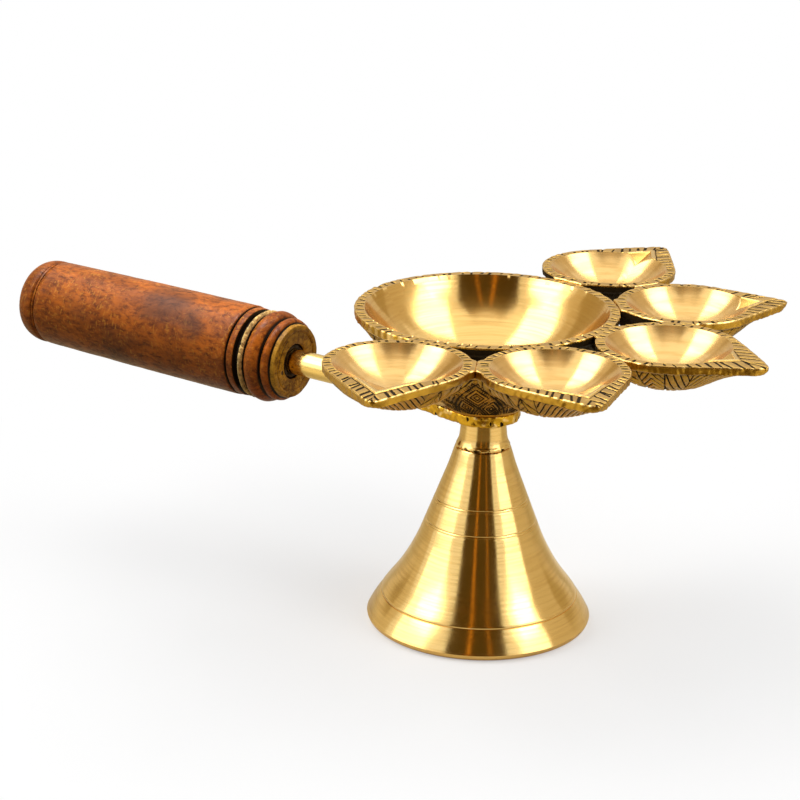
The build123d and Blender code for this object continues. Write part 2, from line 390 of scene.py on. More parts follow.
# turned brass: highlights drawn out across the lathe lines
def turnedBrass(name, colour, roughness, lines, anisotropy):
    material, tree, surface = newMaterial(name)
    uv = addNode(tree, "ShaderNodeUVMap", uv_map="turned").outputs["UV"]
    turned = placeGroup(tree, turningGroup, Vector=uv, Lines=lines)
    cloud = ramp(tree, noise(tree, objectPlace(tree), 90.0, 4.0, 0.6), 0.35, 0.7)
    deep = [channel * share for channel, share in zip(colour, streakShade)]
    tint = mixColours(tree, maths(tree, "MULTIPLY", turned["Streaks"], 0.6), opaque(colour), opaque(deep))
    rough = maths(tree, "MULTIPLY_ADD", turned["Streaks"], 0.06, roughness)
    worn = maths(tree, "MULTIPLY_ADD", cloud, 0.05, rough)
    tangent = addNode(tree, "ShaderNodeTangent", direction_type="UV_MAP", uv_map="turned")
    feed(
        tree, surface, Base_Color=tint, Metallic=1.0, Roughness=worn, Anisotropic=anisotropy,
        Anisotropic_Rotation=0.25, Tangent=tangent.outputs["Tangent"],
        Normal=bump(tree, turned["Height"], 0.2, 0.05 * mm),
    )
    return material


# cast brass: satin where it was filed, dark wax in the chisel cuts and painted shade in the gaps
def castBrass(name, colour, roughness, filmColour, film, grain):
    material, tree, surface = newMaterial(name)
    patina = placeGroup(tree, patinaGroup, Cut=cutValue(tree), Amount=film)
    filmed = mixColours(tree, patina["Film"], opaque(colour), opaque(filmColour))
    rubbed = mixColours(tree, patina["Worn"], filmed, opaque(brightBrass))
    shade = mixColours(tree, patina["Dark"], rubbed, opaque(darkWaxAndShade))
    pits = noise(tree, objectPlace(tree), 900.0, 4.0, 0.65)
    satin = ramp(tree, patina["Worn"], 0.0, 1.0, roughness, wornRoughness)
    dull = maths(tree, "MULTIPLY_ADD", patina["Dark"], 0.4, satin)
    feed(
        tree, surface, Base_Color=shade,
        Metallic=ramp(tree, patina["Dark"], 0.0, 1.0, 1.0, 0.3),
        Roughness=dull, Specular_IOR_Level=0.12,
        Normal=bump(tree, pits, grain, 0.25 * mm),
    )
    return material


# drawn rod: fine scratches along its length
def drawnBrass(name, colour, roughness):
    material, tree, surface = newMaterial(name)
    lines = noise(tree, stretch(tree, objectPlace(tree), (40.0, 2500.0, 2500.0)), 1.0, 3.0, 0.6)
    feed(
        tree, surface, Base_Color=opaque(colour), Metallic=1.0,
        Roughness=ramp(tree, lines, 0.35, 0.7, roughness, roughness + 0.12),
        Normal=bump(tree, lines, 0.1, 0.04 * mm),
    )
    return material


# bends coordinates, so that a pattern in them curls
def warp(tree, vector, scale, amount):
    wander = feed(tree, addNode(tree, "ShaderNodeTexNoise"), Vector=vector, Scale=scale, Detail=2.0)
    return vectorMaths(tree, "MULTIPLY_ADD", wander.outputs["Color"], (amount,) * 3, vector)["Vector"]


# noise scales and shares of the wood's pattern
wood = {
    "curl": (75.0, 0.006),
    "clouds": 46.0,
    "cloudShare": 0.6,
    "mottle": 300.0,
    "roundFlecks": 1350.0,
    "longFlecks": 1150.0,
    "crowds": 48.0,               # where the flecks lie closer
    "patches": 30.0,
    "patchShare": 0.55,
    "stainShare": 0.62,
    "deep": (0.2, 0.15, 0.15),    # what is left of each colour channel in the dark grain
    # near-black for the cuts, and for painted shade in the grooves and the bore
    "inCutsAndShade": (0.01, 0.005, 0.002),
    "specular": 0.15,
}
# a bluish-black stain on the upper side of the grip
oldStain = {"place": (-0.113, -0.001, 0.097), "radius": 0.0155, "core": 0.3, "curl": (110.0, 0.016)}


# oiled hardwood: red-brown and mottled, flecked with short golden dashes that run round and along
# the piece, darker in patches, in the cuts, in painted shade and in one old stain
def oiledWood(name, body, fleck, stain, roughness):
    material, tree, surface = newMaterial(name)
    coords = objectPlace(tree)
    bent = warp(tree, coords, *wood["curl"])

    def grain(vector, scale, key, detail, rough, *limits):
        return ramp(tree, noise(tree, stretch(tree, vector, scale), wood[key], detail, rough), *limits)

    cloud = grain(coords, (1.0, 1.6, 1.6), "clouds", 4.0, 0.6, 0.36, 0.66)
    mottle = grain(bent, (1.0, 2.0, 2.0), "mottle", 5.0, 0.7, 0.27, 0.63)
    roundFlecks = grain(bent, (1.0, 0.38, 0.38), "roundFlecks", 1.0, 0.5, 0.58, 0.72)
    longFlecks = grain(bent, (0.45, 1.0, 1.0), "longFlecks", 1.0, 0.5, 0.6, 0.76)
    crowd = ramp(tree, noise(tree, coords, wood["crowds"], 2.0, 0.5), 0.38, 0.64, 0.06, 0.5)
    patches = ramp(tree, noise(tree, coords, wood["patches"], 3.0, 0.55), 0.56, 0.72)
    curled = warp(tree, coords, *oldStain["curl"])
    fromStain = vectorMaths(tree, "DISTANCE", curled, oldStain["place"])["Value"]
    stained = ramp(tree, fromStain, oldStain["radius"], oldStain["radius"] * oldStain["core"])
    deep = [channel * share for channel, share in zip(body, wood["deep"])]
    ground = mixColours(tree, mottle, opaque(deep), opaque(body))
    clouded = mixColours(tree, maths(tree, "MULTIPLY", cloud, wood["cloudShare"]), ground, opaque(deep))
    flecks = maths(tree, "MULTIPLY", maths(tree, "MAXIMUM", roundFlecks, longFlecks), crowd)
    flecked = mixColours(tree, flecks, clouded, opaque(fleck))
    patched = maths(tree, "MULTIPLY", patches, wood["patchShare"])
    dark = maths(tree, "MAXIMUM", patched, maths(tree, "MULTIPLY", stained, wood["stainShare"]))
    dulled = mixColours(tree, dark, flecked, opaque(stain))
    shade = mixColours(tree, ramp(tree, cutValue(tree), 0.2, 0.8), dulled, opaque(wood["inCutsAndShade"]))
    feed(
        tree, surface, Base_Color=shade, Specular_IOR_Level=wood["specular"],
        Roughness=ramp(tree, mottle, 0.0, 1.0, roughness + 0.1, roughness),
        Normal=bump(tree, mottle, 0.12, 0.15 * mm),
    )
    return material


brightBrass = (0.9, 0.61, 0.225)
# dark wax in the cuts, and the same colour painted as shade in the gaps between bowl and cups
darkWaxAndShade = (0.026, 0.014, 0.003)
wornRoughness = 0.24
streakShade = (0.86, 0.78, 0.62)     # what is left of each colour channel in a dark lathe line
standBrass = turnedBrass("standBrass", brightBrass, 0.13, 3600.0, 0.8)
hollowBrass = turnedBrass("hollowBrass", (0.875, 0.555, 0.185), 0.1, 3200.0, 0.8)
cupBrass = turnedBrass("cupBrass", (0.88, 0.56, 0.205), 0.15, 2600.0, 0.85)
rodBrass = drawnBrass("rodBrass", (0.93, 0.64, 0.2), 0.12)
rimBrass = castBrass("rimBrass", (0.77, 0.465, 0.11), 0.28, (0.45, 0.25, 0.055), 0.7, 0.12)
neckBrass = castBrass("neckBrass", (0.9, 0.61, 0.21), 0.17, (0.78, 0.49, 0.14), 0.5, 0.03)
bandBrass = castBrass("bandBrass", (0.6, 0.335, 0.042), 0.3, (0.32, 0.165, 0.017), 0.85, 0.25)
chasedBrass = castBrass("chasedBrass", (0.54, 0.295, 0.036), 0.33, (0.28, 0.165, 0.038), 0.9, 0.25)
hammeredBrass = castBrass("hammeredBrass", (0.68, 0.375, 0.026), 0.25, (0.46, 0.235, 0.014), 0.7, 0.3)
gripWood = oiledWood("gripWood", (0.47, 0.116, 0.009), (0.6, 0.235, 0.028), (0.045, 0.02, 0.013), 0.33)
faceWood = oiledWood("faceWood", (0.62, 0.3, 0.024), (0.72, 0.42, 0.06), (0.36, 0.165, 0.014), 0.42)
ringWood = oiledWood("ringWood", (1.0, 0.66, 0.22), (1.0, 0.76, 0.34), (0.75, 0.42, 0.11), 0.5)
lacDark = oiledWood("lacDark", (0.05, 0.026, 0.01), (0.12, 0.062, 0.02), (0.012, 0.007, 0.004), 0.5)
print("materials ready")


# stand: hollow cone, neck and stud; pairs are radius and height in mm

stand = {
    "steps": 288,
    "footRadius": 36.3,
    "footEdge": 2.3,           # height of the widest point
    "footTuck": 2.2,
    "footFace": 1.8,
    "lip": (32.0, 9.3),
    "lipBulge": 0.22,
    "lipOut": (0.82, 0.57),    # which way the lip bulges
    "lipCorner": (-1.3, 2.2),  # from the lip to the corner that the flare bends towards
    "shoulder": (28.5, 14.3),
    "flareCorner": (23.8, 20.4),
    "flare": (19.9, 29.5),
    "topRadius": 8.4,
    "topSwell": 0.4,           # the cone is a little fuller just under the neck
    "swellReach": 4.5,
    "wall": 2.2,
    "hubDepth": 8.0,           # of the solid top that takes the neck's spigot
    "hubRadius": 5.6,
    "scribed": (17.7, 25.3),   # drops of the scribed lines below the top
    "pairGap": 0.7,
    "scribeDepth": 0.11,
    "scribeWidth": 0.28,
}
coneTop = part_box("stand_cone")[1].z / mm
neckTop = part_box("stand_neck")[1].z / mm


# quadratic curve through a start, towards a corner, to an end
def bend(start, corner, end, count):
    points = []
    for t in spread(0, 1, count):
        mixed = (a * (1 - t) ** 2 + 2 * b * t * (1 - t) + c * t * t for a, b, c in zip(start, corner, end))
        points.append(tuple(mixed))
    return points


def scribeDepth(drop):
    depth = 0
    for line in stand["scribed"]:
        for side in (-0.5, 0.5):
            off = drop - line - side * stand["pairGap"]
            depth += stand["scribeDepth"] * cutAt(off, stand["scribeWidth"])
    return depth


def coneRadius(height):
    flareRadius, flareHeight = stand["flare"]
    slope = (flareRadius - stand["topRadius"]) / (coneTop - flareHeight)
    swell = stand["topSwell"] * math.exp(-(((coneTop - height) / stand["swellReach"]) ** 2))
    return stand["topRadius"] + slope * (coneTop - height) + swell


def coneOutline():
    footRadius, footEdge = stand["footRadius"], stand["footEdge"]
    sole = footRadius - stand["footTuck"]
    inner = sole - stand["footFace"]
    lipRadius, lipHeight = stand["lip"]
    hub = coneTop - stand["hubDepth"]
    wall = stand["wall"]
    inside = [(0, hub), (stand["hubRadius"], hub)]
    inside += [(coneRadius(height) - wall, height) for height in spread(hub, stand["flare"][1], 8)]
    inside += [(radius - wall, height) for radius, height in flareCurve()[::-2]]
    inside += [(lipRadius - wall, lipHeight), (inner + 0.3, 0.4), (inner, 0.1), (inner + 0.2, 0)]
    foot = [(sole, 0)]
    foot += bend((sole, 0), (footRadius - 0.4, 0.5), (footRadius - 0.1, footEdge - 0.5), 8)
    foot.append((footRadius, footEdge))
    lip = []
    for t in spread(0, 1, 12):
        out = stand["lipBulge"] * math.sin(math.pi * t)
        radius = footRadius + (lipRadius - footRadius) * t + out * stand["lipOut"][0]
        lip.append((radius, footEdge + (lipHeight - footEdge) * t + out * stand["lipOut"][1]))
    crease = [(lipRadius - 0.25, lipHeight + 0.02), (lipRadius - 0.22, lipHeight + 0.14)]
    side = []
    for height in spread(stand["flare"][1], coneTop - 0.4, 150):
        side.append((coneRadius(height) - scribeDepth(coneTop - height), height))
    topRadius = coneRadius(coneTop)
    top = [(topRadius - 0.08, coneTop - 0.12), (topRadius - 0.4, coneTop), (0, coneTop)]
    return inside + foot + lip + crease + flareCurve() + side + top


def flareCurve():
    lip, corner, shoulder = stand["lip"], stand["lipCorner"], stand["shoulder"]
    low = bend((lip[0], lip[1] + 0.25), (lip[0] + corner[0], lip[1] + corner[1]), shoulder, 10)
    return low + bend(shoulder, stand["flareCorner"], stand["flare"], 28)


def makeCone():
    cone = turnOutline("standCone", coneOutline(), stand["steps"])
    cone.data.materials.append(standBrass)
    settle(cone, "stand", "stand_cone", 30)


# neck: pairs are radius and height above the cone in mm
neck = {
    "steps": 288,
    "spigot": 5.5,
    "collar": ((8.3, 0.0), (8.62, 0.12), (8.66, 0.4), (8.6, 0.7)),
    "curve": ((8.55, 0.9), (7.75, 2.0), (7.55, 4.2)),
    "taper": 0.55,
    "topRadius": 6.9,
    "seam": 0.3,               # height of the pitted braze line
    "seamWidth": 0.75,
    "seamLumps": 0.1,
    "pitDepth": 0.4,
    "polishedRing": 12,        # first ring above the braze line
}


def aboveCone(points):
    return [(radius, coneTop + rise) for radius, rise in points]


def makeNeck():
    low = coneTop - stand["hubDepth"]
    plainRadius, plainRise = neck["curve"][2]
    climb = neckTop - coneTop - (plainRise + 0.1)
    outline = [(0, low), (neck["spigot"], low), (neck["spigot"], coneTop)]
    outline += aboveCone(neck["collar"])
    outline += bend(*aboveCone(neck["curve"]), 14)
    for t in spread(0, 1, 16):
        outline.append((plainRadius - neck["taper"] * t, coneTop + plainRise + climb * t))
    outline += [(neck["topRadius"], neckTop), (0, neckTop)]
    piece = turnOutline("standNeck", outline, neck["steps"])
    co = vertexPlaces(piece)
    height = co[:, 2] / mm
    seam = cutAt(height - coneTop - neck["seam"], neck["seamWidth"]) * (height > coneTop - 0.2)
    pits = smoothStep(0.25, 0.7, lumps(co, 2.2, 5)) * seam
    keepPoints(piece, "cut", pits)
    carve(piece, pits * neck["pitDepth"] + seam * lumps(co, 3.0, 6) * neck["seamLumps"])
    dressRings(piece, [(0, neckBrass), (neck["polishedRing"], standBrass)])
    settle(piece, "stand", "stand_neck")


# stud: a 60 degree thread cut by a formula on a turned blank
stud = {"radius": 4.0, "pitch": 1.5, "depth": 0.75, "chamfer": 0.6, "steps": 96}


def makeStud():
    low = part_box("clamp_stud")[0].z / mm
    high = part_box("clamp_stud")[1].z / mm
    outline = [(0, low), (stud["radius"], low)]
    outline += [(stud["radius"], height) for height in spread(low, high - stud["chamfer"], 110)]
    outline += [(stud["radius"] - stud["chamfer"], high), (0, high)]
    piece = turnOutline("clampStud", outline, stud["steps"])
    co = vertexPlaces(piece)
    radius = np.hypot(co[:, 0], co[:, 1])
    turns = co[:, 2] / mm / stud["pitch"] - np.arctan2(co[:, 1], co[:, 0]) / fullTurn
    sink = 2 * np.abs(turns - np.round(turns)) * stud["depth"] * mm
    threaded = (co[:, 2] / mm > neckTop) & (radius > 0.8 * stud["radius"] * mm)
    scale = np.where(threaded, 1 - sink / np.maximum(radius, mm), 1)
    co[:, :2] *= scale[:, None]
    placeVertices(piece, co)
    piece.data.materials.append(standBrass)
    settle(piece, "stand", "clamp_stud")


makeCone()
makeNeck()
makeStud()
print("stand made")


# handle: eye plate, rod, lac and wooden grip

strap = {
    "eyeRadius": 11.5,
    "waist": 27.0,
    "width": 9.6,
    "end": 37.0,
    "hole": 4.08,
    "edge": 0.5,
    "dents": (0.15, 0.05),   # depth of the large and small hammer marks
    "pitDepth": 0.25,
    "steps": 360,
}


# distance from the stud to the plate's edge, by direction
def strapReach(angle):
    towards = np.maximum(-np.cos(angle), 1e-6)
    across = np.maximum(np.abs(np.sin(angle)), 1e-6)
    half = strap["width"] / 2
    lean = math.asin((strap["eyeRadius"] - half) / strap["waist"])
    facing = towards * math.sin(lean) + across * math.cos(lean)
    onTaper = np.arctan2(across, towards) < math.pi / 2 - lean
    taper = np.where(onTaper, strap["eyeRadius"] / facing, strap["eyeRadius"])
    inTaper = np.minimum(taper, strap["waist"] / towards)
    tail = np.minimum(half / across, strap["end"] / towards)
    return np.where(np.cos(angle) < 0, np.maximum(inTaper, tail), strap["eyeRadius"])


def makeStrap():
    low, high = (corner.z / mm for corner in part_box("handle_strap"))
    edge = strap["edge"]
    # rings as (share of the way from hole to edge, pull in from the edge, height)
    rings = [(0, 0, low)] + [(t, edge, low) for t in spread(0, 1, 16)]
    rings += [(1, edge * 0.3, low + edge * 0.3)]
    rings += [(1, 0, height) for height in np.linspace(low + edge, high - edge, 10)]
    rings += [(1, edge * 0.3, high - edge * 0.3)] + [(t, edge, high) for t in np.linspace(1, 0, 17)[:-1]]
    rings += [(0, 0, high), (0, 0, (low + high) / 2)]
    outline = [(strap["hole"] + share * 8 - pull * share, height) for share, pull, height in rings]
    piece = turnOutline("handleStrap", outline + outline[:1], strap["steps"])
    number = pointValues(piece, "ring").astype(int) % len(rings)
    share, pull, height = np.array(rings)[number].T
    angle = turnAngles(piece)
    radius = strap["hole"] + share * (strapReach(angle) - strap["hole"]) - pull * share
    co = np.stack([radius * np.cos(angle), radius * np.sin(angle), height], axis=1) * mm
    placeVertices(piece, co)
    outer = smoothStep(0.9, 1.0, share)
    dents = lumps(co, 3.4, 11) * strap["dents"][0] + lumps(co, 1.7, 12) * strap["dents"][1]
    pits = smoothStep(0.6, 1.0, lumps(co, 2.3, 15)) * outer
    keepPoints(piece, "cut", pits - 0.6 * smoothStep(0.3, 0.9, -lumps(co, 3.4, 11)) * outer)
    carve(piece, (dents + pits * strap["pitDepth"]) * (share > 0.05) * (0.25 + 0.75 * outer))
    piece.data.materials.append(hammeredBrass)
    settle(piece, "handle", "handle_strap")


# the grip's outline runs along the handle: distances from the stud in mm
grip = {
    "steps": 288,
    "front": 74.0,
    "length": 114.2,
    "radius": 15.3,
    "barrelSwell": 0.15,
    "tailRadius": 14.6,
    "tailLength": 10.9,
    "bore": 5.95,
    "boreDepth": 84.0,
    "faceRadius": 12.3,
    "domeRadius": 7.2,
    "axisHeight": 71.85,   # of the rod at the stud
    "rise": math.radians(1.0),
    "unevenness": (0.1, 0.05),   # of the long and short waves left by the turner
    "chipDepth": 0.3,
    "markPitch": 1.15,
    "markDepth": 0.08,
    "gougeDepth": 0.25,
    "crackRadius": 9.0,
    "crackDepth": 0.3,
    "tailGrooveShade": (0.25, 1.3),
    # grooves behind the face, painted dark as shade: start, end and darkness
    "grooveShade": (
        (1.55, 2.0, 0.8), (5.0, 5.75, 1.0), (11.5, 11.95, 1.0), (13.85, 15.45, 1.1), (18.05, 18.6, 0.9),
    ),
}


# half-round bead between two distances, on grooves of one radius
def beadCurve(start, end, foot, crown, count):
    points = []
    for t in np.linspace(0, 1, count + 1):
        points.append((foot + (crown - foot) * math.sin(math.pi * t) ** 0.55, start + (end - start) * t))
    return points


# pairs are radius and distance behind the front face, which is added at the end
def gripOutline():
    bore, face, tail, dome = (grip[key] for key in ("bore", "faceRadius", "tailRadius", "domeRadius"))
    length = grip["length"]
    barrelEnd = length - grip["tailLength"]
    parts = {}
    parts["bore"] = [(0, grip["boreDepth"]), (bore, grip["boreDepth"]), (bore, 1.2)]
    parts["face"] = [(bore + 0.15, 0.5), (bore + 0.6, 0.25)]
    parts["face"] += [(radius, 0.22) for radius in np.linspace(bore + 1.0, 9.6, 10)]
    parts["face"] += [(9.9, 0.45), (10.2, 0.45), (10.5, 0.1)]
    parts["face"] += [(radius, 0) for radius in np.linspace(10.8, face - 0.4, 4)]
    parts["face"] += [(face - 0.1, 0.12), (face, 0.4), (face + 0.1, 1.5)]
    parts["collar"] = [(12.2, 1.65), (12.3, 1.85)] + beadCurve(2.0, 5.1, 12.7, 14.0, 14)
    parts["bead"] = [(12.9, 5.3)] + beadCurve(5.6, 11.5, 13.2, 15.5, 20)
    parts["ring"] = [(13.2, 11.8)] + beadCurve(11.95, 13.85, 13.4, 15.0, 10)
    parts["band"] = [(13.1, 13.9), (13.1, 15.3), (14.5, 15.5), (14.85, 15.7), (14.95, 16.6)]
    parts["band"] += [(14.95, 17.6), (14.8, 18.0), (14.2, 18.15), (14.2, 18.5), (15.0, 18.7)]
    parts["barrel"] = [(15.2, 18.95)]
    taper = grip["radius"] - tail
    for t in np.linspace(0, 1, 61):
        swell = grip["barrelSwell"] * math.sin(math.pi * t)
        parts["barrel"].append((grip["radius"] - taper * t + swell, 19.4 + (barrelEnd - 19.8) * t))
    tailSteps = ((0.25, 0), (0.8, 0.25), (0.3, 0.55), (0.15, 1.0), (0.9, 1.3), (0.2, 1.7), (0, 2.2))
    parts["tail"] = [(tail - pull, barrelEnd + along) for pull, along in tailSteps]
    shoulder = (tail - 0.1, length - 2.6)
    parts["tail"] += bend((tail, barrelEnd + 2.4), shoulder, (dome + 2.2, length - 0.9), 24)
    parts["tail"] += [(dome + 1.6, length - 0.65), (dome + 1.3, length - 0.6)]
    parts["tail"] += bend((dome + 1.2, length - 0.55), (dome, length), (0, length), 8)
    for name, points in parts.items():
        parts[name] = [(radius, grip["front"] + along) for radius, along in points]
    return parts


# moves a piece turned about Z on to the handle's line
def layAlongHandle(piece):
    co = vertexPlaces(piece)
    out = np.array([-math.cos(grip["rise"]), 0, math.sin(grip["rise"])])
    side = np.array([0.0, 1.0, 0.0])
    down = np.cross(out, side)
    start = np.array([0, 0, grip["axisHeight"] * mm])
    placeVertices(piece, start + co[:, :1] * side + co[:, 1:2] * down + co[:, 2:] * out)


def makeGrip():
    piece, firsts = turnParts("woodenGrip", gripOutline(), grip["steps"])
    co, ring, angle, radius = turnedPlaces(piece)
    distance = co[:, 2] / mm - grip["front"]
    beaded = distance < 20
    outside = ring >= firsts["face"]
    face = between(ring, firsts, "face", "collar")
    paleRing = between(ring, firsts, "ring", "band")

    # hand-turned unevenness, and marks, gouges and a crack in the end grain of the face
    wobble = lumps(co, 14.0, 21) * grip["unevenness"][0] + lumps(co, 4.0, 22) * grip["unevenness"][1]
    chips = smoothStep(0.45, 0.9, lumps(co, 2.2, 23)) * paleRing * grip["chipDepth"]
    marks = cutLines(radius, grip["markPitch"], 0.2) * grip["markDepth"] * face
    fromCrack = radius - grip["crackRadius"] - 0.25 * np.sin(3 * angle)
    cracks = cutAt(fromCrack, 0.3) * smoothStep(0.2, 0.6, np.sin(2 * angle + 0.6)) * face
    gouges = smoothStep(0.9, 1.3, lumps(co, 3.0, 24)) * grip["gougeDepth"] * face

    # painted shade in the grooves
    grooveShade = np.zeros(len(co))
    for low, high, dark in grip["grooveShade"]:
        grooveShade = np.maximum(grooveShade, window(distance, (low - 0.25, low), (high, high + 0.25)) * dark)
    barrelEnd = grip["length"] - grip["tailLength"]
    for line in grip["tailGrooveShade"]:
        grooveShade = np.maximum(grooveShade, cutAt(distance - barrelEnd - line, 0.42) * 0.9)
    grooveShade = np.maximum(grooveShade, cutAt(distance - grip["length"] + 0.65, 0.3) * 0.8 * (radius > 5))
    # painted shade in the grooves and all over the bore, with dark marks, gouges and cracks on the face
    cut = grooveShade * outside * ~face + marks * 2 + gouges * 2.5 + cracks + ~outside
    keepPoints(piece, "cut", np.clip(cut, 0, 1))
    sunk = wobble * (0.4 + 0.6 * beaded) + chips + marks + gouges + cracks * grip["crackDepth"]
    carve(piece, sunk * outside)
    layAlongHandle(piece)
    dressRings(piece, [
        (0, faceWood), (firsts["collar"], gripWood),
        (firsts["ring"], ringWood), (firsts["band"], gripWood),
    ])
    settle(piece, "handle", "wooden_grip")
    return piece


def dressRod():
    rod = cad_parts["handle_rod"]
    rod.data.materials.clear()
    rod.data.materials.append(rodBrass)


# lac that fills the bore round the tang, uneven where it was pressed in at the mouth
lac = {"steps": 96, "mouth": 1.1, "backGap": 0.5, "boreGap": 0.03, "rodGap": 0.02, "unevenness": 0.35}


def makeLac():
    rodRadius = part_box("handle_rod")[1].y / mm + lac["rodGap"]
    edge = grip["bore"] - lac["boreGap"]
    mouth = grip["front"] + lac["mouth"]
    back = grip["front"] + grip["boreDepth"] - lac["backGap"]
    outline = [(rodRadius, back), (edge, back), (edge, mouth + 0.6), (edge - 0.3, mouth + 0.2)]
    outline += [(radius, mouth) for radius in np.linspace(edge - 0.5, rodRadius + 0.2, 5)]
    outline += [(rodRadius, mouth + 0.3), (rodRadius, back)]
    piece = turnOutline("lacBedding", outline, lac["steps"])
    co = vertexPlaces(piece)
    atMouth = smoothStep(mouth + 3, mouth + 1, co[:, 2] / mm)
    co[:, 2] += lumps(co, 4.0, 27) * lac["unevenness"] * mm * atMouth
    placeVertices(piece, co)
    keepPoints(piece, "cut", np.zeros(len(co)))
    layAlongHandle(piece)
    piece.data.materials.append(lacDark)
    settle(piece, "handle", "lac_bedding")


makeStrap()
gripPiece = makeGrip()
makeLac()
dressRod()
print("handle made")


# head: camphor bowl and five leaf cups

bowl = {
    "steps": 720,
    "rim": 3.3,
    "band": 2.4,
    "bulge": 1.6,
    "seatRadius": 11.5,
    "floor": 83.6,
    "hole": 4.08,
    "holeDepth": 8.2,
    "threadDepth": 0.3,
    "hollowRings": 24,
    "rimRings": 11,
    "underRings": 78,
    "ringStep": 0.55,        # mm of chasing for each ring of the underside
    "strokePitch": 3.4,
    "strokeWidth": 0.85,
    "strokeLean": 0.25,
    "strokeDepth": 0.34,
    "dipDepth": 0.04,
    "chaseDepth": 0.42,
    "castLumps": (0.07, 0.1),    # all over, and on the band
    "panels": 14,
    "panelHeight": 9.0,
    "diamonds": (0.98, 0.68, 0.4, 0.18),
    "diamondWidth": 0.52,
    "tickPitch": 0.1,        # as a share of a diamond's side
    "tickWidth": 0.4,
    "gapShadeAngle": (80, 88),  # degrees off the middle cup where the painted shade in the gaps fades out
}
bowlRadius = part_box("camphor_bowl")[1].x / mm
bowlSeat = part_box("camphor_bowl")[0].z / mm
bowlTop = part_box("camphor_bowl")[1].z / mm


def bowlOutline():
    mouth = bowlRadius - bowl["rim"]
    seat, hole = bowl["seatRadius"], bowl["hole"]
    parts = {}
    # inside: a curve that lies flat at the floor and climbs steeply to the mouth
    sweep = 2 * math.atan((bowlTop - bowl["floor"]) / mouth)
    scale = mouth / math.sin(sweep)
    parts["hollow"] = [(0, bowl["floor"])]
    for t in spread(0, 1, bowl["hollowRings"]):
        climb = scale * (1 - math.cos(t * sweep))
        parts["hollow"].append((scale * math.sin(t * sweep), bowl["floor"] + climb))
    rimRadii = [mouth + 0.22] + spread(mouth + 0.22, bowlRadius - 0.4, bowl["rimRings"])
    parts["rim"] = [(radius, bowlTop) for radius in rimRadii]
    parts["band"] = [(bowlRadius - 0.12, bowlTop - 0.1), (bowlRadius, bowlTop - 0.4)]
    for t in spread(0, 1, 5):
        parts["band"].append((bowlRadius - 0.15 * t, bowlTop - 0.4 - (bowl["band"] - 0.4) * t))
    start = (bowlRadius - 0.5, bowlTop - bowl["band"] - 0.15)
    along = Vector((seat + 0.6, bowlSeat + 0.5)) - Vector(start)
    outwards = Vector((-along.y, along.x)).normalized()
    parts["under"] = [start]
    for t in spread(0, 1, bowl["underRings"]):
        point = Vector(start) + along * t + outwards * bowl["bulge"] * math.sin(math.pi * t)
        parts["under"].append(tuple(point))
    parts["seat"] = [(seat, bowlSeat + 0.1), (seat - 0.3, bowlSeat), (hole + 0.5, bowlSeat)]
    for number, rise in enumerate(np.linspace(0.4, bowl["holeDepth"] - 0.4, 7)):
        parts["seat"].append((hole + bowl["threadDepth"] * (number % 2), bowlSeat + rise))
    parts["seat"].append((0, bowlSeat + bowl["holeDepth"]))
    return parts


# short chisel strokes across a rim: s runs along the edge and d inwards from it, in mm
# each stroke has its own place, lean and length; gives the cuts and the soft dips between the swells
def chiselStrokes(s, d, pitch, width, lean, reach, seed):
    draw = np.random.default_rng(seed)
    count = int((s.max() - s.min()) / pitch) + 6
    shift = draw.uniform(-0.24, 0.24, count) * pitch
    tilt = draw.normal(0, 0.12, count)
    first = draw.uniform(0.0, 0.9, count)
    length = draw.uniform(0.7, 1.1, count)
    wide = width * draw.uniform(0.7, 1.3, count)
    base = np.round((s - lean * d - s.min()) / pitch).astype(int) + 2
    cuts = np.zeros(len(s))
    dips = np.zeros(len(s))
    for step in (-1, 0, 1):
        stroke = np.clip(base + step, 0, count - 1)
        centre = (stroke - 2) * pitch + s.min() + shift[stroke]
        off = s - (lean + tilt[stroke]) * d - centre
        start, end = first[stroke], length[stroke] * reach
        fade = window(d, (start - 0.4, start + 0.4), (end - 0.3, end + 0.3))
        cuts = np.maximum(cuts, cutAt(off, wide[stroke]) * fade)
        dips = np.maximum(dips, cutAt(off, pitch * 0.5) * (1 - smoothStep(1, 3, d)))
    return cuts, dips


# panels on the bowl's underside: a lattice of nested diamonds with ladder ticks along their sides
def bowlChasing(angle, v, radius):
    half = math.pi * radius / bowl["panels"]
    x = angle * bowl["panels"] / math.pi
    y = v / bowl["panelHeight"]
    rising, falling = (x + y) / 2, (x - y) / 2
    offRising, offFalling = toLines(rising, 1) * 2, toLines(falling, 1) * 2
    ring = np.maximum(offRising, offFalling)
    size = np.minimum(half, bowl["panelHeight"]) * 0.7
    lines = np.zeros(len(v))
    for level in bowl["diamonds"]:
        lines = np.maximum(lines, cutAt((ring - level) * size, bowl["diamondWidth"]))
    along = np.where(offRising > offFalling, falling, rising)
    inBorder = window(ring, (0.66, 0.72), (0.9, 0.96))
    ticks = cutAt(toLines(along, bowl["tickPitch"]) * size * 2, bowl["tickWidth"]) * inBorder
    return np.maximum(lines, ticks * 0.9)


